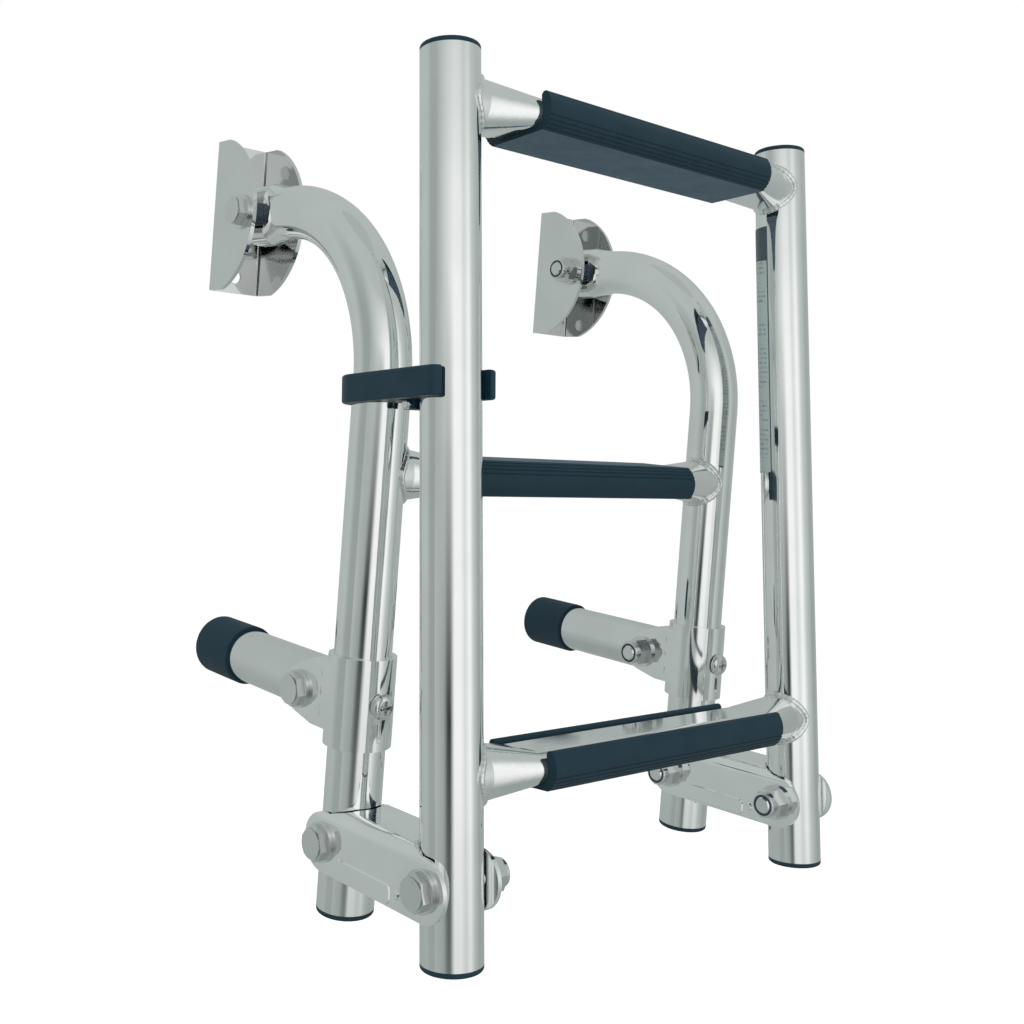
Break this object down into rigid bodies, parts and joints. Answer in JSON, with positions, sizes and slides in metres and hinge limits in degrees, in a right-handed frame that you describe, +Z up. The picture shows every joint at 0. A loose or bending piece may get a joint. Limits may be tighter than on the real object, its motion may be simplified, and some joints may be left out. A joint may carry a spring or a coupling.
{
  "type": "boat boarding ladder",
  "caption": "Folding stainless tube boarding ladder with screw-on hook brackets, a fixed step, a swing-down section, adjustable standoffs and a stow clip.",
  "frame": {"origin": "middle of the four screw holes of the two brackets, on their back faces", "axes": "+Z up along the hook tubes, +Y into the boat, normal to the bracket back faces, +X to the right of a person facing the transom"},
  "size_m": [0.2742, 0.2148, 0.3714],
  "materials": {
    "polished_steel": "mirror-polished stainless steel",
    "black_plastic": "moulded semi-matt",
    "black_rubber": "moulded matt",
    "nylon": "smooth nylon",
    "label": "laminated film"
  },
  "bodies": {
    "brackets": {"bracket_left": "polished_steel", "bracket_right": "polished_steel", "bracket_bolts": "polished_steel", "bracket_washers": "polished_steel", "bracket_nuts": "polished_steel", "bracket_nut_rings": "nylon", "bracket_spacers": "nylon"},
    "frame": {"hook_tube_left": "polished_steel", "hook_tube_right": "polished_steel", "fixed_step_tube": "polished_steel", "fixed_tread": "black_plastic", "hook_tube_plugs": "black_plastic", "stow_clip": "black_plastic", "stow_clip_screw": "polished_steel", "stow_clip_nut": "polished_steel"},
    "links": {"link_left": "polished_steel", "link_right": "polished_steel", "link_bolts": "polished_steel", "link_washers": "polished_steel", "link_nuts": "polished_steel", "link_nut_rings": "nylon"},
    "swing": {"swing_tube_left": "polished_steel", "swing_tube_right": "polished_steel", "lower_step_tube": "polished_steel", "lower_tread": "black_plastic", "upper_step_tube": "polished_steel", "upper_tread": "black_plastic", "swing_top_plugs": "black_plastic", "swing_bottom_plugs": "black_plastic", "blank_label": "label"},
    "clamp_body_left": {"clamp_left": "polished_steel", "clamp_screw_left": "polished_steel", "standoff_bolt_left": "polished_steel", "standoff_washer_left": "polished_steel", "standoff_nut_left": "polished_steel", "standoff_nut_ring_left": "nylon"},
    "standoff_body_left": {"standoff_tube_left": "polished_steel", "standoff_cap_left": "black_rubber"},
    "clamp_body_right": {"clamp_right": "polished_steel", "clamp_screw_right": "polished_steel", "standoff_bolt_right": "polished_steel", "standoff_washer_right": "polished_steel", "standoff_nut_right": "polished_steel", "standoff_nut_ring_right": "nylon"},
    "standoff_body_right": {"standoff_tube_right": "polished_steel", "standoff_cap_right": "black_rubber"}
  },
  "joints": [
    {"name": "frame_tilt", "type": "hinge", "parent": "brackets", "child": "frame", "pos_m": [0, -0.0288, 0], "axis": [1, 0, 0], "range_deg": [-90, 2]},
    {"name": "link_swing", "type": "hinge", "parent": "frame", "child": "links", "pos_m": [0, -0.1316, -0.2778], "axis": [1, 0, 0], "range_deg": [0, 92.47]},
    {"name": "ladder_swing", "type": "hinge", "parent": "links", "child": "swing", "pos_m": [0, -0.1987, -0.2749], "axis": [1, 0, 0], "range_deg": [0, 93.94]},
    {"name": "clamp_slide_left", "type": "slide", "parent": "frame", "child": "clamp_body_left", "axis": [0, 0, 1], "range_m": [-0.02, 0.055]},
    {"name": "standoff_tilt_left", "type": "hinge", "parent": "clamp_body_left", "child": "standoff_body_left", "pos_m": [-0.116, -0.1064, -0.2175], "axis": [1, 0, 0], "range_deg": [-15, 15]},
    {"name": "clamp_slide_right", "type": "slide", "parent": "frame", "child": "clamp_body_right", "axis": [0, 0, 1], "range_m": [-0.02, 0.055]},
    {"name": "standoff_tilt_right", "type": "hinge", "parent": "clamp_body_right", "child": "standoff_body_right", "pos_m": [0.116, -0.1064, -0.2175], "axis": [1, 0, 0], "range_deg": [-15, 15]}
  ]
}
